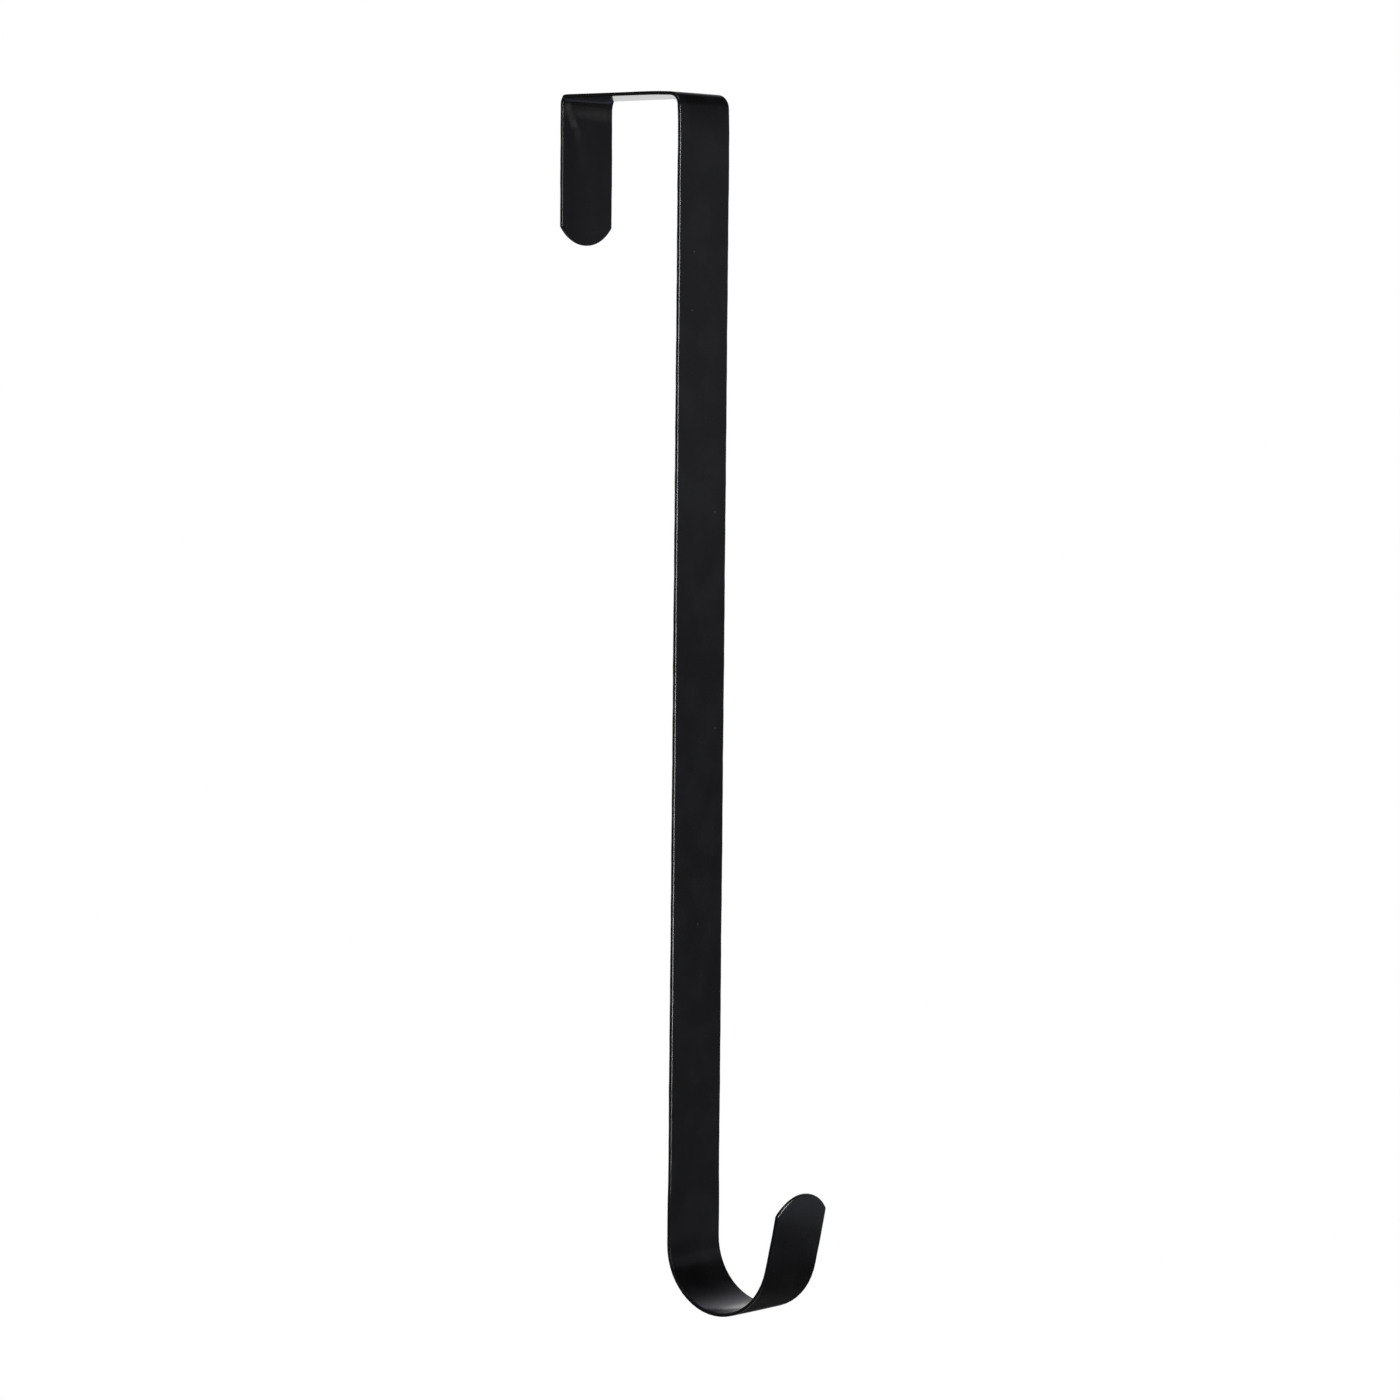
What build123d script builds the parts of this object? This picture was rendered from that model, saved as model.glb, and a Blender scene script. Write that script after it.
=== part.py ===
from build123d import *
import os

os.makedirs("parts", exist_ok=True)

# Wreath hanger for the top of a door, one strip of flat steel bent four ways.
# The origin is the middle of the bridge's underside, where it rests on the door.
# X runs across the strip, -Y is the side the wreath hangs on, +Z is up.
# All lengths are in millimetres and all angles in degrees.

# The flat strip
strip_width = 24.4
strip_thickness = 1.25
arris_radius = 0.35

# The saddle over the door
door_gap = 47.0
tab_height = 47.4
rear_bend_radius = 1.6
front_bend_radius = 3.4

# The strap and the hook at its foot
overall_height = 381.0
hook_radius = 19.2
hook_turn = 168.2
tip_length = 24.0

# The two ends of the strip, each cut to a shallow arc
end_rise = 5.85
end_corner_radius = 0.6

# Sizes that follow from those above
half_gap = door_gap / 2
tab_foot = strip_thickness - tab_height
hook_outer_radius = hook_radius + strip_thickness
hook_centre = (-half_gap - hook_outer_radius, hook_outer_radius + strip_thickness - overall_height)
end_radius = (strip_width**2 / 4 + end_rise**2) / (2 * end_rise)

# The strip's face on the door's side, seen from the side of the door.
# The line runs up the tab, over the door, down the strap and round under the hook.
with BuildLine(Plane.YZ) as door_face:
    tab_line = Line((half_gap, tab_foot), (half_gap, -rear_bend_radius))
    RadiusArc((half_gap, -rear_bend_radius), (half_gap - rear_bend_radius, 0), -rear_bend_radius)
    Line((half_gap - rear_bend_radius, 0), (front_bend_radius - half_gap, 0))
    RadiusArc((front_bend_radius - half_gap, 0), (-half_gap, -front_bend_radius), -front_bend_radius)
    Line((-half_gap, -front_bend_radius), (-half_gap, hook_centre[1]))
    hook_curve = CenterArc(hook_centre, hook_outer_radius, 0, -hook_turn)
    tip_line = PolarLine(hook_curve @ 1, tip_length, direction=hook_curve % 1)

# The strip itself: that line thickened away from the door, then widened both ways.
side_view = make_face(offset(door_face.wire(), amount=strip_thickness, side=Side.LEFT).edges())
strip = extrude(side_view, amount=strip_width / 2, both=True)

# The waste beyond a rounded end, drawn with the end's furthest point at its origin.
waste = Rectangle(strip_width, end_rise, align=(Align.CENTER, Align.MAX))
waste -= Pos(0, -end_radius) * Circle(end_radius)


def cut_end(blank, furthest_point, outward):
    """The strip with one end cut to its arc, square to the strip's own faces."""
    across = Vector(1, 0, 0)
    face = Plane(origin=furthest_point, x_dir=across, z_dir=across.cross(outward))
    return blank - extrude(face * waste, amount=2 * strip_thickness, both=True)


def edges_through(blank):
    """The short edges that run straight through the strip's thickness."""
    return blank.edges().filter_by(lambda edge: abs(edge.length - strip_thickness) < arris_radius / 10)


strip = cut_end(strip, tab_line @ 0, -(tab_line % 0))
strip = cut_end(strip, tip_line @ 1, tip_line % 1)

# Ease the corner on each side of both arcs, where the arc meets the strip's long edge.
strip = fillet(edges_through(strip), end_corner_radius)

# Round the arris all the way round both faces, leaving out the bend lines across the strip.
bend_lines = strip.edges().filter_by(Axis.X)
strip = fillet(strip.edges() - edges_through(strip) - bend_lines, arris_radius)

strip.label = "hanger_strip"
strip.color = Color(0.025, 0.026, 0.028)
export_step(strip, "parts/hanger_strip.step")
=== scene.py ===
"""A wreath hanger: one strip of black-coated steel bent to hang over the top of a door.

The strip is laid out as a flat blank with rounded arrises, then bent round the same line
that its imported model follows. Lengths are in metres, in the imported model's own frame:
X across the strip, -Y the side the wreath hangs on, +Z up from the door's top edge.
"""

import bisect
import math

import bmesh
import bpy
from mathutils import Matrix, Vector


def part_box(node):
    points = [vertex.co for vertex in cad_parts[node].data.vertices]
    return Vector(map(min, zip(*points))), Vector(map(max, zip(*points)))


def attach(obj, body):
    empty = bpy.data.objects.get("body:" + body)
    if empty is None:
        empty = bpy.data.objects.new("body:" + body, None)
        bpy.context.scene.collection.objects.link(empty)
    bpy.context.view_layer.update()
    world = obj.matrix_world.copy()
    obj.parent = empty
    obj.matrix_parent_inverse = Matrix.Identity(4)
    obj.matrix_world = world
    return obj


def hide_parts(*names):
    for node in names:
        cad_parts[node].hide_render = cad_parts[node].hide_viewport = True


bl_info = {
    "name": "Wreath hanger",
    "version": (1, 0, 0),
    "blender": (4, 5, 0),
    "location": "View3D > Sidebar > Hanger",
    "description": "Builds a bent-strip wreath hanger and a plain studio around it",
    "category": "Object",
}

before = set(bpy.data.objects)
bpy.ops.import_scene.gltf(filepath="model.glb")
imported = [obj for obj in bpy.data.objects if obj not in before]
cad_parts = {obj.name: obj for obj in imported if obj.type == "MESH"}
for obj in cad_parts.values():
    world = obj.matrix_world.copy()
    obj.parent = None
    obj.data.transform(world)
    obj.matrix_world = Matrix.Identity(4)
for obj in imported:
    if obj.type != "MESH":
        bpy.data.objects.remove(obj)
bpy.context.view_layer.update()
CAD_NODE = "hanger_strip"
PIECE = "hanger_strip_coated"
LOW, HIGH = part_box(CAD_NODE)

# The bridge's underside is at z = 0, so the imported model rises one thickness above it.
PACKED_THICKNESS = HIGH.z
PACKED_GAP = 2 * (HIGH.y - PACKED_THICKNESS)
PACKED_HEIGHT = HIGH.z - LOW.z
PACKED_WIDTH = HIGH.x - LOW.x

QUARTER_TURN = math.pi / 2


def length_of(name, description, default):
    """A setting that is a length in metres."""
    return bpy.props.FloatProperty(
        name=name, description=description, default=default, subtype="DISTANCE", unit="LENGTH"
    )


def angle_of(name, description, degrees):
    """A setting that is an angle, with its default in degrees."""
    return bpy.props.FloatProperty(
        name=name, description=description, default=math.radians(degrees), subtype="ANGLE", unit="ROTATION"
    )


def share_of(name, description, default):
    """A setting that is a share between 0 and 1."""
    return bpy.props.FloatProperty(
        name=name, description=description, default=default, min=0.0, max=1.0, subtype="FACTOR"
    )


def amount_of(name, description, default):
    """A setting that is a plain number of 0 or more."""
    return bpy.props.FloatProperty(name=name, description=description, default=default, min=0.0)


def colour_of(name, description, default):
    """A setting that is a colour."""
    return bpy.props.FloatVectorProperty(
        name=name, description=description, default=default, size=3, min=0.0, max=1.0, subtype="COLOR"
    )


class HangerStripSettings(bpy.types.PropertyGroup):
    """Sizes of the bent strip."""

    width: length_of("Strip width", "Width of the flat strip", PACKED_WIDTH)
    thickness: length_of("Strip thickness", "Thickness of the strip with its coat", PACKED_THICKNESS)
    arris: length_of("Arris radius", "Rounding along every edge of both faces", 0.00042)
    height: length_of("Overall height", "Top of the bridge to the bottom of the hook", PACKED_HEIGHT)
    door_gap: length_of("Door gap", "Clear space between the tab and the strap", PACKED_GAP)
    tab_height: length_of("Tab height", "Top of the bridge to the foot of the tab", 0.0474)
    tab_bend: length_of("Tab bend", "Inside radius of the bend above the tab", 0.0016)
    strap_bend: length_of("Strap bend", "Inside radius of the bend above the strap", 0.0034)
    hook_radius: length_of("Hook radius", "Inside radius of the hook", 0.0192)
    hook_turn: angle_of("Hook turn", "How far the strip turns round the hook", 168.2)
    tip_length: length_of("Tip length", "Straight length beyond the hook's bend", 0.024)
    end_rise: length_of("End rise", "Height of the arc that each end is cut to", 0.00585)
    end_corner: length_of("End corner", "Rounding where an end's arc meets the sides", 0.0006)
    side_wander: length_of("Side wander", "How far the slit sides stray inwards", 0.00006)
    face_wander: length_of("Face wander", "How far the faces stray from flat", 0.00005)
    arris_stray: share_of("Arris stray", "How much the arris radius varies along the strip", 0.3)
    hook_arris: share_of("Hook arris", "Share of the arris radius that is left round the hook", 0.3)
    loose_bend: length_of("Loose bend", "How far the strip springs in at the bend above the strap", 0.00032)
    tip_bow: length_of("Tip bow", "How far the hook's tip bows outwards", 0.00028)
    bend_ear: length_of("Bend ear", "How far the strip's corners stand out on the tab's bend", 0.00028)
    crease_height: length_of("Crease height", "Height of the mark under the tab's bend at its left", 0.00055)
    crease_spread: share_of("Crease spread", "How much taller the mark gets to the right, by width", 0.03)
    crease_slope: share_of("Crease slope", "How deep the mark is pressed, by its height", 0.17)


class CoatSettings(bpy.types.PropertyGroup):
    """The satin black coat."""

    colour: colour_of("Colour", "Colour of the coat", (0.0018, 0.0019, 0.0021))
    haze: colour_of("Haze", "Colour where handling leaves a faint film", (0.0029, 0.0031, 0.0035))
    haze_size: length_of("Haze size", "Distance between one faint patch and the next", 0.011)
    roughness: share_of("Roughness", "Roughness of the coat on the faces", 0.18)
    arris_roughness: share_of("Arris roughness", "Roughness of thin coat on an arris", 0.20)
    arris_colour: colour_of("Arris colour", "Colour of thin coat on an arris", (0.004, 0.004, 0.0044))
    peel_height: length_of("Peel height", "Height of the coat's fine unevenness", 0.0000012)
    peel_size: length_of("Peel size", "Distance between one rise of the coat and the next", 0.0011)
    sag_height: length_of("Sag height", "Height of the coat's slow unevenness", 0.000006)
    sag_size: length_of("Sag size", "Distance between one slow rise and the next", 0.0062)
    nib_height: length_of("Nib height", "Height of a dust nib under the coat", 0.000024)
    nib_radius: length_of("Nib radius", "Radius of a dust nib", 0.00038)
    nib_gap: length_of("Nib gap", "Rough distance between places where a nib may sit", 0.006)
    nib_share: share_of("Nib share", "Share of those places that have a nib", 0.3)
    nib_colour: colour_of("Nib colour", "Colour where the coat is thin over a nib", (0.03, 0.03, 0.032))
    pull_height: length_of("Pull height", "Height of the marks where the bend stretched the coat", 0.000012)
    pull_size: length_of("Pull size", "Distance across the strip between those marks", 0.0021)
    # Painted sheen: a paler colour, with its own roughness, on the tab's door face below its bend, standing
    # in for a reflection there.
    painted_sheen_colour: colour_of("Painted sheen colour", "Colour where the coat is rubbed", (0.028, 0.028, 0.028))
    sheen_streak_roughness: share_of("Sheen streak roughness", "Roughness where the coat is rubbed", 0.32)


class StudioSettings(bpy.types.PropertyGroup):
    """The camera, the floor and the lights."""

    camera_azimuth: angle_of("Camera azimuth", "Angle round the hanger, 0 facing the strap", -50.456)
    camera_elevation: angle_of("Camera elevation", "Angle above the hanger's middle", 3.668)
    camera_roll: angle_of("Camera roll", "Tilt about the line of sight", 0.551)
    camera_distance: length_of("Camera distance", "From the hanger's middle", 1.5798)
    camera_right: length_of("Camera aim right", "Aim point right of the bridge's middle", 0.01913)
    camera_up: length_of("Camera aim up", "Aim point above the hanger's mid height", 0.00099)
    lens: amount_of("Lens", "Focal length in millimetres on a 36 mm frame", 128.23)
    floor_drop: length_of("Floor drop", "From the door's top edge down to the floor", 0.66)
    floor_radius: length_of("Floor radius", "Reach of the round floor", 0.28)
    backdrop_distance: length_of("Backdrop distance", "From the hanger back to the white backdrop", 1.0)
    soft_light: amount_of("Soft light", "Brightness of the even light from all round", 0.4)


def add_object(name, data):
    """A new object that shows a mesh, a camera or a lamp."""
    placed = bpy.data.objects.new(name, data)
    bpy.context.scene.collection.objects.link(placed)
    return placed


def mesh_from(bm, name):
    """A mesh of this name from a bmesh, which is freed."""
    mesh = bpy.data.meshes.new(name)
    bm.to_mesh(mesh)
    bm.free()
    return mesh


def shift_along(point, direction, distance):
    """A flat point moved some way in a direction."""
    return (point[0] + direction[0] * distance, point[1] + direction[1] * distance)


class BendLine:
    """The line that the strip's door face follows, in the upright plane through its middle.

    It starts at the tab's foot, heading up, and ends at the hook's tip. The strip's
    thickness lies on its right.
    """

    LEGS = ("tab", "tab_bend", "bridge", "strap_bend", "strap", "hook", "tip")

    def __init__(self, sizes):
        hook_radius = sizes.hook_radius + sizes.thickness
        drop = sizes.height - sizes.thickness - sizes.strap_bend - hook_radius
        legs = (
            (sizes.tab_height - sizes.thickness - sizes.tab_bend, 0.0),
            (sizes.tab_bend * QUARTER_TURN, QUARTER_TURN),
            (sizes.door_gap - sizes.tab_bend - sizes.strap_bend, 0.0),
            (sizes.strap_bend * QUARTER_TURN, QUARTER_TURN),
            (drop, 0.0),
            (hook_radius * sizes.hook_turn, -sizes.hook_turn),
            (sizes.tip_length, 0.0),
        )
        self.legs = []
        start, point, heading = 0.0, (sizes.door_gap / 2, sizes.thickness - sizes.tab_height), QUARTER_TURN
        for length, turn in legs:
            self.legs.append((start, length, turn, point, heading))
            point, heading = self.follow(self.legs[-1], length)
            start += length
        self.length = start
        self.starts = [leg[0] for leg in self.legs]

    @staticmethod
    def follow(leg, distance):
        """The point and heading at a distance along one leg."""
        _, length, turn, point, heading = leg
        if not turn:
            return shift_along(point, (math.cos(heading), math.sin(heading)), distance), heading
        radius = length / turn
        centre = shift_along(point, (-math.sin(heading), math.cos(heading)), radius)
        heading += turn * distance / length
        return shift_along(centre, (math.sin(heading), -math.cos(heading)), radius), heading

    def start_of(self, name):
        """The station where a leg starts."""
        return self.starts[self.LEGS.index(name)]

    def share_of(self, name, station):
        """How far along one leg a station lies, 0 at its start and 1 at its end."""
        start, length = self.legs[self.LEGS.index(name)][:2]
        return (station - start) / length

    def place(self, station, across, depth):
        """A point of the bent strip, from its place on the flat blank."""
        leg = self.legs[max(0, bisect.bisect_right(self.starts, station) - 1)]
        point, heading = self.follow(leg, station - leg[0])
        y, z = shift_along(point, (math.sin(heading), -math.cos(heading)), depth)
        return Vector((across, y, z))

    def stations(self, longest, sharpest):
        """Rows along the strip, no further apart than these limits of length and turn."""
        found = [0.0]
        for start, length, turn, _, _ in self.legs:
            steps = max(math.ceil(length / longest), math.ceil(abs(turn) / sharpest))
            found += [start + length * (k + 1) / steps for k in range(steps)]
        return found


def eased(place, start, end):
    """A smooth step from 0 at the start to 1 at the end."""
    share = min(1.0, max(0.0, (place - start) / (end - start)))
    return share * share * (3 - 2 * share)


def bump_at(place, centre, width):
    """A smooth rise of height 1 about a place, a width to either side."""
    return math.exp(-(((place - centre) / width) ** 2))


def slow_wave(place, waves):
    """A smooth stray between 0 and 1, the mean of a few waves of (length, start)."""
    total = sum(math.sin(2 * math.pi * (place / length + start)) for length, start in waves)
    return 0.5 + 0.5 * total / len(waves)


class HandMarks:
    """What bending and slitting leave on the strip, as small shifts of the blank's points.

    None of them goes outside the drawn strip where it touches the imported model's box.
    """

    # Waves along the strip, as (length, start as a share of it).
    SIDE_WAVES = (
        ((0.047, 0.10), (0.112, 0.45), (0.029, 0.80)),
        ((0.053, 0.65), (0.131, 0.05), (0.033, 0.30)),
    )
    FACE_WAVES = ((0.083, 0.20), (0.036, 0.55))
    CROWN_WAVES = ((0.140, 0.75), (0.061, 0.35))
    ARRIS_WAVES = ((0.071, 0.15), (0.019, 0.60), (0.0083, 0.35))

    # The stretches over which the arris gets sharper, and rounder again, from the hook's start.
    SHARPENS = (-0.027, -0.009)
    ROUNDS_AGAIN = (0.052, 0.064)

    # The loose bend: how far before the strap's start its middle lies, and its reach.
    LOOSE_LEAD = 0.0027
    LOOSE_REACH = 0.006

    # The tip's bow: how far before the tip it starts, and what brings its curve to a height of 1.
    BOW_LEAD = 0.007
    BOW_SCALE = 6.75

    # The ears: place and reach as shares of the tab's bend, and reach as a share of half the width.
    EAR_PLACE = 0.62
    EAR_REACH = 0.16
    EAR_WIDTH = 0.13

    # The crease: how far up into the tab's bend it starts, and where it fades below that bend.
    CREASE_LEAD = 0.00035
    CREASE_FADE = (0.0020, 0.018)

    def __init__(self, sizes, line):
        self.sizes, self.line = sizes, line
        self.tab_bend = line.start_of("tab_bend")
        self.hook = line.start_of("hook")
        self.loose_place = line.start_of("strap") - self.LOOSE_LEAD
        self.bow_start = line.start_of("tip") - self.BOW_LEAD

    def arris(self, station):
        """The arris radius, which varies along the strip and is smaller round the hook."""
        sizes, past = self.sizes, station - self.hook
        sharper = eased(past, *self.SHARPENS) - eased(past, *self.ROUNDS_AGAIN)
        stray = sizes.arris_stray * (2 * slow_wave(station, self.ARRIS_WAVES) - 1)
        return sizes.arris * (1 + stray) * (1 - (1 - sizes.hook_arris) * sharper)

    def shift(self, station, share):
        """How far both faces lie from the drawn strip, away from the door face."""
        sizes, line = self.sizes, self.line
        moved = -sizes.loose_bend * bump_at(station, self.loose_place, self.LOOSE_REACH)
        past = (station - self.bow_start) / (line.length - self.bow_start)
        if past > 0:
            moved -= sizes.tip_bow * past**2 * (1 - past) * self.BOW_SCALE
        ear = bump_at(line.share_of("tab_bend", station), self.EAR_PLACE, self.EAR_REACH)
        return moved + sizes.bend_ear * ear * bump_at(abs(share), 1.0, self.EAR_WIDTH)

    def crease(self, station, across):
        """How deep the tab's door face is pressed in."""
        sizes, below = self.sizes, self.tab_bend - station
        height = sizes.crease_height + sizes.crease_spread * (across + sizes.width / 2)
        pressed = sizes.crease_slope * height * eased(below, -self.CREASE_LEAD, height)
        return pressed * (1 - eased(below, *self.CREASE_FADE))

    def move(self, station, across, depth):
        """A point of the bent strip with its marks, from its place on the flat blank."""
        sizes = self.sizes
        share = 2 * across / sizes.width
        middle = sizes.thickness / 2
        dip = sizes.face_wander * slow_wave(station, self.FACE_WAVES)
        crown = sizes.face_wander * slow_wave(station, self.CROWN_WAVES) * share * share
        thinner = (dip + crown) * (depth - middle) / middle
        pressed = self.crease(station, across) * (1 - depth / sizes.thickness)
        waves = self.SIDE_WAVES[0 if across < 0 else 1]
        across -= sizes.side_wander * slow_wave(station, waves) * share
        return self.line.place(station, across, depth + pressed - thinner + self.shift(station, share))


class Blank:
    """The flat strip before it is bent: a grid of rows along it and columns across it."""

    # Steps along half an end's arc and round a corner, and the least radius that a corner keeps.
    ARC_STEPS = 11
    CORNER_STEPS = 3
    LEAST_CORNER = 0.0001

    # The zone at each end where the rows change from the end's arc to straight.
    END_ZONE = 0.014
    END_ROWS = 9

    # The most that the strip runs on or turns between rows.
    LONGEST_ROW = 0.0025
    SHARPEST_ROW = math.radians(7)

    # The close rows at the crease, counted down from where the tab's bend starts.
    CREASE_ROW = 0.00015
    CREASE_ROWS = range(-2, 14)

    def __init__(self, sizes, line):
        self.half_width = sizes.width / 2
        self.length = line.length
        self.corner = sizes.end_corner
        self.end_radius = (self.half_width**2 + sizes.end_rise**2) / (2 * sizes.end_rise)
        reach = self.half_width - self.corner
        self.corner_start = math.asin(reach / (self.end_radius - self.corner))
        arc = [self.corner_start * k / self.ARC_STEPS for k in range(self.ARC_STEPS + 1)]
        rest = QUARTER_TURN - self.corner_start
        arc += [self.corner_start + rest * (k + 1) / self.CORNER_STEPS for k in range(self.CORNER_STEPS)]
        self.end_angles = [-a for a in reversed(arc[1:])] + arc
        self.columns = len(self.end_angles) - 1
        rows = self.spaced_rows(line)
        self.middle_rows = sorted(s for s in rows if self.END_ZONE < s < self.length - self.END_ZONE)

    def spaced_rows(self, line):
        """Stations spaced by the strip's length and turn, and closer at the crease."""
        top = line.start_of("tab_bend")
        foot = top - self.CREASE_ROW * self.CREASE_ROWS.stop
        rows = {s for s in line.stations(self.LONGEST_ROW, self.SHARPEST_ROW) if not foot <= s <= top}
        return rows | {top - self.CREASE_ROW * k for k in self.CREASE_ROWS}

    def end_point(self, angle, inset):
        """A point of the cut end, by the angle that its outline faces, as (station, across).

        The inset draws the outline in, which makes its corner as much tighter, down to the least.
        """
        corner = max(self.corner - inset, self.LEAST_CORNER)
        radius, reach = self.end_radius - inset - corner, self.half_width - inset - corner
        meeting = math.asin(reach / radius)
        if abs(angle) <= self.corner_start:
            turned, arc = angle * meeting / self.corner_start, radius + corner
            return self.end_radius - arc * math.cos(turned), arc * math.sin(turned)
        past = (abs(angle) - self.corner_start) / (QUARTER_TURN - self.corner_start)
        turned = meeting + past * (QUARTER_TURN - meeting)
        station = self.end_radius - radius * math.cos(meeting) - corner * math.cos(turned)
        return station, math.copysign(reach + corner * math.sin(turned), angle)

    def rows(self, inset_at):
        """The blank's grid of (station, across) points, with its outline drawn in by an inset."""
        shares = [2 * j / self.columns - 1 for j in range(self.columns + 1)]

        def straight(station):
            """A straight row across the blank."""
            return [(station, share * (self.half_width - inset_at(station))) for share in shares]

        def zone(far_end):
            """The rows from one cut end to the first straight one."""
            border = self.length - self.END_ZONE if far_end else self.END_ZONE
            inset = inset_at(border)
            even = straight(border)
            for k in range(self.END_ROWS):
                along = k / self.END_ROWS
                row = []
                for angle, (_, target) in zip(self.end_angles, even):
                    station, across = self.end_point(angle, inset)
                    station += (self.END_ZONE - station) * along
                    across += (target - across) * eased(along, 0.0, 1.0)
                    row.append((self.length - station if far_end else station, across))
                yield row
            yield even

        middle = [straight(station) for station in self.middle_rows]
        return list(zone(False)) + middle + list(zone(True))[::-1]


# The steps round an arris, and the width of the flat row beside it that keeps its shading off the face.
ARRIS_STEPS = 4
ARRIS_SUPPORT = 0.0002


def arris_levels():
    """One face's levels, from its flat row outwards, as (inset, depth, extra inset).

    The inset and the depth are in arris radii, and the extra inset is a length.
    """
    levels = [(1.0, 0.0, ARRIS_SUPPORT)]
    for k in range(ARRIS_STEPS + 1):
        angle = QUARTER_TURN * k / ARRIS_STEPS
        levels.append((1 - math.sin(angle), 1 - math.cos(angle), 0.0))
    return levels


def border_of(last_row, last_column):
    """The places round a grid of rows and columns, in order."""
    border = [(0, j) for j in range(last_column)]
    border += [(i, last_column) for i in range(last_row)]
    border += [(last_row, j) for j in range(last_column, 0, -1)]
    return border + [(i, 0) for i in range(last_row, 0, -1)]


def build_strip_mesh(sizes, line):
    """The bent strip: two face grids, joined round their borders by the rounded arrises.

    Each point keeps its place on the flat blank and whether it lies on an arris, for the coat.
    """
    marks, blank = HandMarks(sizes, line), Blank(sizes, line)
    levels = [(level, False) for level in arris_levels()]
    levels += [(level, True) for level in reversed(arris_levels())]
    bm = bmesh.new()
    arris = bm.verts.layers.float.new("arris")
    flat = bm.verts.layers.float_vector.new("flat_place")
    loops = []
    for (inset, depth, extra), far_side in levels:
        face_level = extra > 0
        grid = blank.rows(lambda station: inset * marks.arris(station) + extra)
        last_row, last_column = len(grid) - 1, blank.columns
        border = border_of(last_row, last_column)
        inner = [(i, j) for i in range(1, last_row) for j in range(1, last_column)] if face_level else []
        verts = {}
        for i, j in border + inner:
            station, across = grid[i][j]
            below = depth * marks.arris(station)
            vert = bm.verts.new(marks.move(station, across, sizes.thickness - below if far_side else below))
            vert[arris] = 0.0 if face_level else 1.0
            vert[flat] = (station, across, float(far_side))
            verts[i, j] = vert
        if face_level:
            for i in range(last_row):
                for j in range(last_column):
                    bm.faces.new((verts[i, j], verts[i, j + 1], verts[i + 1, j + 1], verts[i + 1, j]))
        loops.append([verts[place] for place in border])
    for low, high in zip(loops, loops[1:]):
        for k in range(len(low)):
            bm.faces.new((low[k - 1], low[k], high[k], high[k - 1]))
    bmesh.ops.recalc_face_normals(bm, faces=bm.faces)
    unwrap_flat(bm, flat, line.length)
    return mesh_from(bm, PIECE)


def unwrap_flat(bm, flat, length):
    """Lays the faces out as the flat strip, its whole length across the sheet, and shades them smooth."""
    unwrapped = bm.loops.layers.uv.new("flat_strip")
    for face in bm.faces:
        face.smooth = True
        for corner in face.loops:
            station, across, _ = corner.vert[flat]
            corner[unwrapped].uv = (station / length, across / length + 0.5)


def add_node(tree, kind, inputs=None, **properties):
    """A shader node with its properties set, and each input linked to a socket or set to a value."""
    node = tree.nodes.new("ShaderNode" + kind)
    for name, value in properties.items():
        setattr(node, name, value)
    for name, value in (inputs or {}).items():
        if isinstance(value, bpy.types.NodeSocket):
            tree.links.new(value, node.inputs[name])
        else:
            node.inputs[name].default_value = value
    return node


def maths(tree, operation, first, second=0.0):
    """The result of one operation on two values."""
    return add_node(tree, "Math", {0: first, 1: second}, operation=operation).outputs["Value"]


def ramped(tree, value, low, high, to_low=0.0, to_high=1.0, smooth=True):
    """A value between two limits, drawn smoothly or straight onto two others and held there."""
    inputs = {"Value": value, "From Min": low, "From Max": high, "To Min": to_low, "To Max": to_high}
    kind = "SMOOTHSTEP" if smooth else "LINEAR"
    return add_node(tree, "MapRange", inputs, interpolation_type=kind).outputs["Result"]


def noise(tree, place, size, detail=2.0):
    """A smooth random value of about this size from one patch to the next."""
    inputs = {"Vector": place, "Scale": 1 / size, "Detail": detail}
    return add_node(tree, "TexNoise", inputs).outputs["Fac"]


def blended(tree, share, first, second, kind="RGBA"):
    """The first colour or value with a share of the second in its place."""
    inputs = {"Factor": share, "A": first, "B": second}
    return add_node(tree, "Mix", inputs, data_type=kind).outputs["Result"]


def new_material(name):
    """A material with nothing but its output, as (material, tree, output)."""
    material = bpy.data.materials.new(name)
    material.use_nodes = True
    tree = material.node_tree
    tree.nodes.clear()
    return material, tree, add_node(tree, "OutputMaterial")


# How far from its line a mark is gone and is whole, by its half width.
MARK_GONE, MARK_WHOLE = 1.0, 0.15

# The noise between a gap in a mark and the whole mark, and how much of it is left in a gap.
STREAK_GAPS = (0.30, 0.62)
STREAK_LEAST = 0.45


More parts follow.
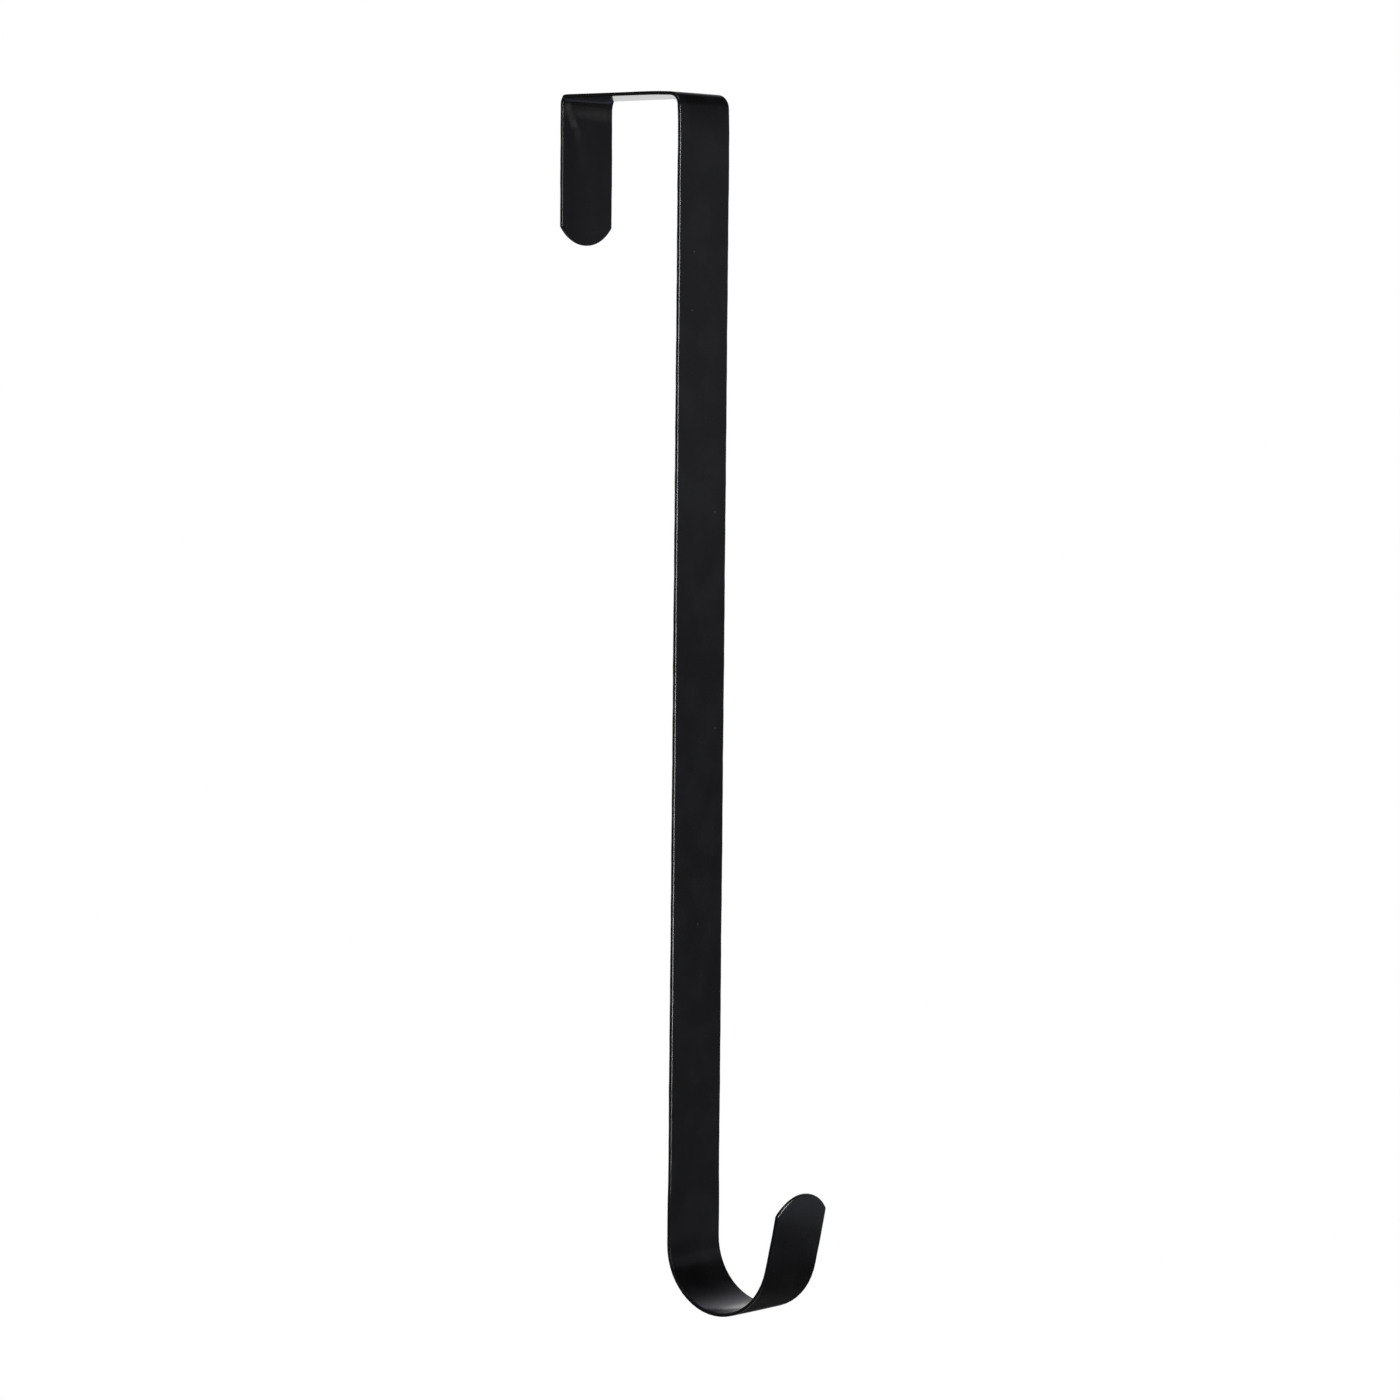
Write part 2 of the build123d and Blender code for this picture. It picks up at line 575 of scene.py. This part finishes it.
def streak_mask_group():
    """A mask that is 1 along a straight mark between two places on the flat strip and fades beside it."""
    tree = bpy.data.node_groups.new("streak_mask", "ShaderNodeTree")
    for name in ("Place", "From", "To"):
        tree.interface.new_socket(name, in_out="INPUT", socket_type="NodeSocketVector")
    for name in ("Width", "Streak Size"):
        tree.interface.new_socket(name, in_out="INPUT", socket_type="NodeSocketFloat")
    tree.interface.new_socket("Mask", in_out="OUTPUT", socket_type="NodeSocketFloat")
    given = tree.nodes.new("NodeGroupInput").outputs

    def vector(operation, first, second, result="Vector"):
        return add_node(tree, "VectorMath", {0: first, 1: second}, operation=operation).outputs[result]

    run = vector("SUBTRACT", given["To"], given["From"])
    past = vector("SUBTRACT", given["Place"], given["From"])
    lengths = {0: vector("DOT_PRODUCT", past, run, "Value"), 1: vector("DOT_PRODUCT", run, run, "Value")}
    share = add_node(tree, "Math", lengths, operation="DIVIDE", use_clamp=True).outputs["Value"]
    spread = add_node(tree, "CombineXYZ", {axis: share for axis in "XYZ"}).outputs["Vector"]
    beside = vector("DISTANCE", past, vector("MULTIPLY", run, spread), "Value")
    near = ramped(tree, maths(tree, "DIVIDE", beside, given["Width"]), MARK_GONE, MARK_WHOLE)
    fineness = maths(tree, "DIVIDE", 1.0, given["Streak Size"])
    streaks = add_node(tree, "TexNoise", {"Vector": given["Place"], "Scale": fineness, "Detail": 3.0})
    broken = ramped(tree, streaks.outputs["Fac"], *STREAK_GAPS, STREAK_LEAST)
    made = tree.nodes.new("NodeGroupOutput")
    tree.links.new(maths(tree, "MULTIPLY", near, broken), made.inputs["Mask"])
    return tree


# Painted sheen below the tab's bend: paler streaks that stand in for a reflection on its door face. Each by
# its two ends, as (distance below the tab's bend, distance across the strip), then its half width, the size
# of its streaks and its strength.
PAINTED_SHEEN_STREAKS = (
    ((0.0012, -0.0096), (0.0066, -0.0066), 0.0024, 0.0030, 1.00),
    ((0.0050, -0.0076), (0.0104, -0.0046), 0.0027, 0.0030, 0.34),
    ((0.0090, -0.0056), (0.0185, -0.0016), 0.0036, 0.0040, 0.08),
    ((0.0026, -0.0120), (0.0030, 0.0120), 0.0023, 0.0030, 0.38),
    ((0.0027, 0.0000), (0.0033, 0.0090), 0.0027, 0.0030, 0.34),
)

# Where the bending tool stretched the coat, in the same terms, and the scale of its drawn-out marks.
PULL = ((0.0005, -0.0110), (0.0005, 0.0110), 0.0105, 0.0200, 1.0)
PULL_SCALE = (0.22, 1.0, 1.0)


def streak_mask(tree, group, place, tab_bend_start, row):
    """One straight mark on the tab's door face, as a mask, from its row of sizes."""
    start, end, width, streak, strength = row
    inputs = {
        "Place": place,
        "From": (tab_bend_start - start[0], start[1], 0.0),
        "To": (tab_bend_start - end[0], end[1], 0.0),
        "Width": width,
        "Streak Size": streak,
    }
    mark = add_node(tree, "Group", inputs, node_tree=group)
    return maths(tree, "MULTIPLY", mark.outputs["Mask"], strength)


def pull_marks(tree, place, reach, size):
    """The height, from 0 to 1, of marks drawn out along the strip within the reach of a mask."""
    drawn = add_node(tree, "Mapping", {"Vector": place, "Scale": PULL_SCALE}).outputs["Vector"]
    return maths(tree, "MULTIPLY", noise(tree, drawn, size), reach)


def dust_nibs(tree, place, settings):
    """The height, from 0 to 1, of the few specks of dust under the coat."""
    cells = add_node(tree, "TexVoronoi", {"Vector": place, "Scale": 1 / settings.nib_gap})
    colour = add_node(tree, "SeparateColor", {"Color": cells.outputs["Color"]})
    chosen = maths(tree, "LESS_THAN", colour.outputs["Red"], settings.nib_share)
    rise = ramped(tree, cells.outputs["Distance"], settings.nib_radius / settings.nib_gap, 0.0)
    return maths(tree, "MULTIPLY", rise, chosen)


# Where an arris is barer: the size of the patches, the noise between least and most, and the least.
BARE_SIZE = 0.006
BARE_PATCHES = (0.35, 0.65)
BARE_LEAST = 0.6

# The noise between clear coat and full haze, and that between the glossiest and the dullest coat.
HAZE_PATCHES = (0.40, 0.68)
GLOSS_PATCHES = (0.3, 0.7)
GLOSS_SWING = 0.008

# The height on a dust nib at which its thin cover starts to show and shows in full.
NIB_SHOWS = (0.2, 0.5)


def coat_colour(tree, settings, cloud, thin, sheen_painted, nibs):
    """Black, then haze, thin cover on the arrises, painted sheen on the tab and nibs over it."""
    colour = (*settings.colour, 1.0)
    for mask, over in (
        (ramped(tree, cloud, *HAZE_PATCHES), settings.haze),
        (thin, settings.arris_colour),
        (sheen_painted, settings.painted_sheen_colour),
        (ramped(tree, nibs, *NIB_SHOWS), settings.nib_colour),
    ):
        colour = blended(tree, mask, colour, (*over, 1.0))
    return colour


def coat_roughness(tree, settings, cloud, thin, sheen_painted):
    """The faces' roughness, a little duller in the haze, then that of the arrises and the painted sheen
    streaks.
    """
    glossiest, dullest = settings.roughness - GLOSS_SWING, settings.roughness + GLOSS_SWING
    roughness = ramped(tree, cloud, *GLOSS_PATCHES, glossiest, dullest, smooth=False)
    for mask, over in ((thin, settings.arris_roughness), (sheen_painted, settings.sheen_streak_roughness)):
        roughness = blended(tree, mask, roughness, over, "FLOAT")
    return roughness


def coat_normal(tree, settings, place, pulls, nibs):
    """The marks of the bend, the slow sags, the fine peel and the nibs, one over another."""
    normal = None
    for height, rise in (
        (settings.pull_height, pulls),
        (settings.sag_height, noise(tree, place, settings.sag_size, detail=1.0)),
        (settings.peel_height, noise(tree, place, settings.peel_size)),
        (settings.nib_height, nibs),
    ):
        bump = add_node(tree, "Bump", {"Strength": 1.0, "Distance": height, "Height": rise})
        if normal is not None:
            tree.links.new(normal, bump.inputs["Normal"])
        normal = bump.outputs["Normal"]
    return normal


def make_coat(settings, tab_bend_start):
    """The satin black coat, with what handling and bending did to it and a painted sheen on the tab."""
    material, tree, output = new_material("satin_black_coat")
    place = add_node(tree, "TexCoord").outputs["Object"]
    flat_place = add_node(tree, "Attribute", attribute_name="flat_place").outputs["Vector"]
    arris = add_node(tree, "Attribute", attribute_name="arris").outputs["Fac"]

    group = streak_mask_group()
    # Painted sheen: paler streaks below the tab's bend that stand in for a reflection, gathered into one
    # mask.
    sheen_painted, *others = [streak_mask(tree, group, flat_place, tab_bend_start, row) for row in PAINTED_SHEEN_STREAKS]
    for mask in others:
        sheen_painted = maths(tree, "MAXIMUM", sheen_painted, mask)
    stretched = streak_mask(tree, group, flat_place, tab_bend_start, PULL)
    pulls = pull_marks(tree, flat_place, stretched, settings.pull_size)
    nibs = dust_nibs(tree, place, settings)
    cloud = noise(tree, place, settings.haze_size, detail=4.0)
    bareness = ramped(tree, noise(tree, place, BARE_SIZE, detail=3.0), *BARE_PATCHES, BARE_LEAST)
    thin = maths(tree, "MULTIPLY", arris, bareness)

    coat = add_node(tree, "BsdfPrincipled", {
        "Base Color": coat_colour(tree, settings, cloud, thin, sheen_painted, nibs),
        "Roughness": coat_roughness(tree, settings, cloud, thin, sheen_painted),
        "Normal": coat_normal(tree, settings, place, pulls, nibs),
    })
    tree.links.new(coat.outputs["BSDF"], output.inputs["Surface"])
    return material


class HANGER_OT_make_strip(bpy.types.Operator):
    """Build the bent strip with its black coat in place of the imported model's"""

    bl_idname = "hanger.make_strip"
    bl_label = "Bent strip"

    def execute(self, context):
        sizes = context.scene.hanger_strip
        line = BendLine(sizes)
        strip = add_object(PIECE, build_strip_mesh(sizes, line))
        strip.data.materials.append(make_coat(context.scene.hanger_coat, line.start_of("tab_bend")))
        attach(strip, "root")
        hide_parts(CAD_NODE)
        return {"FINISHED"}


# The camera's frame width in millimetres, and the nearest and the furthest that it sees.
FRAME_WIDTH = 36.0
NEAREST, FURTHEST = 0.01, 100.0


def add_camera(studio, height):
    """The camera, round the hanger's middle and aimed a little beside it."""
    azimuth, elevation, roll = studio.camera_azimuth, studio.camera_elevation, studio.camera_roll
    back = Vector((
        math.sin(azimuth) * math.cos(elevation),
        -math.cos(azimuth) * math.cos(elevation),
        math.sin(elevation),
    ))
    right = Vector((math.cos(azimuth), math.sin(azimuth), 0.0))
    up = back.cross(right)
    location = Vector((0.0, 0.0, -height / 2)) + back * studio.camera_distance
    location += right * studio.camera_right + up * studio.camera_up
    rolled = Matrix((
        right * math.cos(roll) + up * math.sin(roll),
        up * math.cos(roll) - right * math.sin(roll),
        back,
    )).transposed()
    data = bpy.data.cameras.new("studio_camera")
    data.sensor_width = FRAME_WIDTH
    data.lens = studio.lens
    data.clip_start = NEAREST
    data.clip_end = FURTHEST
    camera = add_object("studio_camera", data)
    camera.matrix_world = Matrix.Translation(location) @ rolled.to_4x4()
    bpy.context.scene.camera = camera


def ray_is(tree, *kinds):
    """1 for a ray of any of these kinds, as the light path names them, and 0 for the rest."""
    rays = add_node(tree, "LightPath").outputs
    total = rays[kinds[0]]
    for kind in kinds[1:]:
        total = maths(tree, "MAXIMUM", total, rays[kind])
    return total


def mixed(tree, share, first, second):
    """The first shader with a share of the second in its place."""
    return add_node(tree, "MixShader", {"Fac": share, 1: first, 2: second}).outputs["Shader"]


FLOOR_SIDES = 96
FLOOR_COLOUR = (0.8, 0.8, 0.8, 1.0)
FLOOR_ROUGHNESS = 0.9

# The white share in the floor's middle, and where it starts to grow and is whole, by the radius.
FLOOR_WHITE = 0.8
FLOOR_FADES, FLOOR_GONE = 0.3, 0.97


def add_floor(drop, radius):
    """A pale round floor that fades to white at its rim and is clear from below."""
    bm = bmesh.new()
    bmesh.ops.create_circle(bm, cap_ends=True, segments=FLOOR_SIDES, radius=radius)
    floor = add_object("studio_floor", mesh_from(bm, "studio_floor"))
    floor.location = (0.0, 0.0, -drop)
    material, tree, output = new_material("pale_floor")
    inputs = {"Base Color": FLOOR_COLOUR, "Roughness": FLOOR_ROUGHNESS}
    paper = add_node(tree, "BsdfPrincipled", inputs)
    white = add_node(tree, "Emission")
    place = add_node(tree, "TexCoord").outputs["Object"]
    from_middle = add_node(tree, "VectorMath", {0: place}, operation="LENGTH").outputs["Value"]
    whiteness = ramped(tree, from_middle, radius * FLOOR_FADES, radius * FLOOR_GONE, FLOOR_WHITE)
    seen = ray_is(tree, "Is Camera Ray", "Is Glossy Ray", "Is Transmission Ray")
    share = maths(tree, "MULTIPLY", seen, whiteness)
    lit = mixed(tree, share, paper.outputs["BSDF"], white.outputs["Emission"])
    below = add_node(tree, "NewGeometry").outputs["Backfacing"]
    clear = add_node(tree, "BsdfTransparent").outputs["BSDF"]
    tree.links.new(mixed(tree, below, lit, clear), output.inputs["Surface"])
    floor.data.materials.append(material)


def direction_of(azimuth, elevation):
    """A direction by its angle from -Y towards -X and its angle above the horizon, in degrees."""
    a, e = math.radians(azimuth), math.radians(elevation)
    return Vector((-math.sin(a) * math.cos(e), -math.cos(a) * math.cos(e), math.sin(e)))


def add_softbox(name, direction, distance, aim, size, radiance, colour, upwards):
    """A soft lamp seen from the aim point in that direction, as bright as a surface of that radiance.

    It faces the aim point, or lies flat there and shines upwards.
    """
    data = bpy.data.lights.new(name, "AREA")
    data.shape = "RECTANGLE"
    data.size, data.size_y = size
    data.color = colour
    data.energy = radiance * math.pi * size[0] * size[1]
    lamp = add_object(name, data)
    away = direction_of(*direction)
    lamp.location = Vector(aim) + away * distance
    lamp.rotation_euler = (math.pi, 0.0, 0.0) if upwards else away.to_track_quat("Z", "Y").to_euler()
    lamp.visible_camera = False


# The lamps: name, (angle from -Y towards -X, angle above the horizon), distance from the aim point,
# aim point, (width, height), radiance, colour, and whether it lies flat and shines upwards.
LAMPS = (
    ("key_softbox", (-17.0, 0.0), 1.2, (0.0, 0.0, -0.17), (0.22, 0.66), 25.0, (1.0, 1.0, 1.0), False),
    ("fill_softbox", (15.0, 0.0), 1.2, (0.0, 0.0, -0.17), (0.22, 0.66), 18.0, (1.0, 1.0, 1.0), False),
    ("upper_softbox", (12.0, 62.0), 1.2, (0.0, 0.0, -0.19), (0.5, 0.5), 4.0, (1.0, 1.0, 1.0), False),
    ("rear_softbox", (160.0, 6.0), 1.2, (0.0, 0.0, -0.17), (0.3, 0.66), 8.0, (1.0, 1.0, 1.0), False),
    ("side_card", (-49.0, 0.6), 1.5, (0.0, 0.0, -0.06), (1.1, 0.34), 0.085, (0.95, 0.96, 1.06), False),
    ("low_card", (-90.0, 0.0), 0.68, (0.0, -0.17, -0.55), (0.56, 0.9), 0.25, (0.93, 0.96, 1.12), True),
    ("rear_low_card", (-90.0, 0.0), 0.74, (0.0, 0.54, -0.55), (0.60, 0.52), 0.16, (0.95, 0.97, 1.08), True),
)

# The dim room round the hanger, as (height of the direction, colour) from straight down to straight up.
ROOM = (
    (-1.00, (0.16, 0.16, 0.17)),
    (-0.80, (0.030, 0.030, 0.031)),
    (-0.40, (0.022, 0.022, 0.023)),
    (-0.22, (0.070, 0.070, 0.077)),
    (-0.06, (0.080, 0.080, 0.088)),
    (0.06, (0.080, 0.080, 0.088)),
    (0.22, (0.044, 0.044, 0.048)),
    (0.42, (0.010, 0.010, 0.011)),
    (0.80, (0.006, 0.006, 0.007)),
    (1.00, (0.20, 0.20, 0.20)),
)

# Half the backdrop's width, and its colours as (height above the door's top edge, colour).
BACKDROP_REACH = 1.2
BACKDROP = (
    (-0.46, (0.00, 0.00, 0.00)),
    (-0.30, (1.00, 1.00, 1.00)),
    (-0.10, (1.00, 1.00, 1.00)),
    (-0.06, (1.25, 1.25, 1.25)),
    (-0.02, (1.25, 1.25, 1.25)),
    (0.04, (0.65, 0.65, 0.69)),
    (0.29, (0.45, 0.45, 0.50)),
    (0.50, (0.23, 0.23, 0.26)),
    (0.65, (0.11, 0.11, 0.13)),
    (0.98, (0.00, 0.00, 0.00)),
)


def height_ramp(tree, place, rows):
    """Colours by height, from rows of (height, colour)."""
    low, high = rows[0][0], rows[-1][0]
    height = add_node(tree, "SeparateXYZ", {"Vector": place}).outputs["Z"]
    ramp = add_node(tree, "ValToRGB", {"Fac": ramped(tree, height, low, high, smooth=False)})
    stops = ramp.color_ramp.elements
    while len(stops) < len(rows):
        stops.new(1.0)
    for stop, (z, colour) in zip(stops, rows):
        stop.position = (z - low) / (high - low)
        stop.color = (*colour, 1.0)
    return ramp.outputs["Color"]


def light_world(soft_light):
    """White to the camera, a dim room to reflections, and even soft light to all else."""
    world = bpy.data.worlds.new("studio_world")
    world.use_nodes = True
    bpy.context.scene.world = world
    tree = world.node_tree
    tree.nodes.clear()

    def shone(colour):
        """Light of one colour from all round."""
        return add_node(tree, "Background", {"Color": colour}).outputs["Background"]

    room = shone(height_ramp(tree, add_node(tree, "TexCoord").outputs["Generated"], ROOM))
    soft = shone((soft_light, soft_light, soft_light, 1.0))
    white = shone((1.0, 1.0, 1.0, 1.0))
    mirrored = mixed(tree, ray_is(tree, "Is Glossy Ray"), soft, room)
    straight = ray_is(tree, "Is Camera Ray", "Is Transmission Ray")
    add_node(tree, "OutputWorld", {"Surface": mixed(tree, straight, mirrored, white)})


def add_backdrop(azimuth, distance):
    """The white paper behind the hanger, which its coat mirrors."""
    low, high, half = BACKDROP[0][0], BACKDROP[-1][0], BACKDROP_REACH
    bm = bmesh.new()
    corners = ((-half, low), (half, low), (half, high), (-half, high))
    bm.faces.new([bm.verts.new((x, 0.0, z)) for x, z in corners])
    backdrop = add_object("studio_backdrop", mesh_from(bm, "studio_backdrop"))
    behind = Vector((-math.sin(azimuth), math.cos(azimuth), 0.0))
    backdrop.location = behind * distance
    backdrop.rotation_euler = (0.0, 0.0, azimuth)
    backdrop.visible_camera = backdrop.visible_diffuse = backdrop.visible_shadow = False
    material, tree, output = new_material("white_backdrop")
    shade = height_ramp(tree, add_node(tree, "TexCoord").outputs["Object"], BACKDROP)
    paper = add_node(tree, "Emission", {"Color": shade})
    tree.links.new(paper.outputs["Emission"], output.inputs["Surface"])
    backdrop.data.materials.append(material)


class HANGER_OT_make_studio(bpy.types.Operator):
    """Set up the camera, the floor, the lights and the white surround"""

    bl_idname = "hanger.make_studio"
    bl_label = "Studio"

    def execute(self, context):
        studio = context.scene.hanger_studio
        add_camera(studio, context.scene.hanger_strip.height)
        add_floor(studio.floor_drop, studio.floor_radius)
        light_world(studio.soft_light)
        add_backdrop(studio.camera_azimuth, studio.backdrop_distance)
        for row in LAMPS:
            add_softbox(*row)
        context.scene.view_settings.view_transform = "Standard"
        return {"FINISHED"}


class HANGER_PT_panel(bpy.types.Panel):
    """Lists the hanger's makers and their settings"""

    bl_idname = "HANGER_PT_panel"
    bl_label = "Wreath hanger"
    bl_space_type = "VIEW_3D"
    bl_region_type = "UI"
    bl_category = "Hanger"

    def draw(self, context):
        for maker, group in PANEL_ROWS:
            box = self.layout.box()
            if maker:
                box.operator(maker)
            settings = getattr(context.scene, group)
            for name in settings.bl_rna.properties.keys():
                if name not in ("rna_type", "name"):
                    box.prop(settings, name)


PANEL_ROWS = (
    ("hanger.make_strip", "hanger_strip"),
    (None, "hanger_coat"),
    ("hanger.make_studio", "hanger_studio"),
)
GROUPS = (
    ("hanger_strip", HangerStripSettings),
    ("hanger_coat", CoatSettings),
    ("hanger_studio", StudioSettings),
)
CLASSES = (
    HangerStripSettings,
    CoatSettings,
    StudioSettings,
    HANGER_OT_make_strip,
    HANGER_OT_make_studio,
    HANGER_PT_panel,
)


def register():
    """Registers the classes and adds their settings to the scene."""
    for cls in CLASSES:
        bpy.utils.register_class(cls)
    for name, group in GROUPS:
        setattr(bpy.types.Scene, name, bpy.props.PointerProperty(type=group))


def unregister():
    """Takes the settings and the classes out again."""
    for name, _ in GROUPS:
        delattr(bpy.types.Scene, name)
    for cls in reversed(CLASSES):
        bpy.utils.unregister_class(cls)


def main():
    """Builds the strip and the studio."""
    register()
    bpy.ops.hanger.make_strip()
    bpy.ops.hanger.make_studio()


if __name__ == "__main__":
    main()
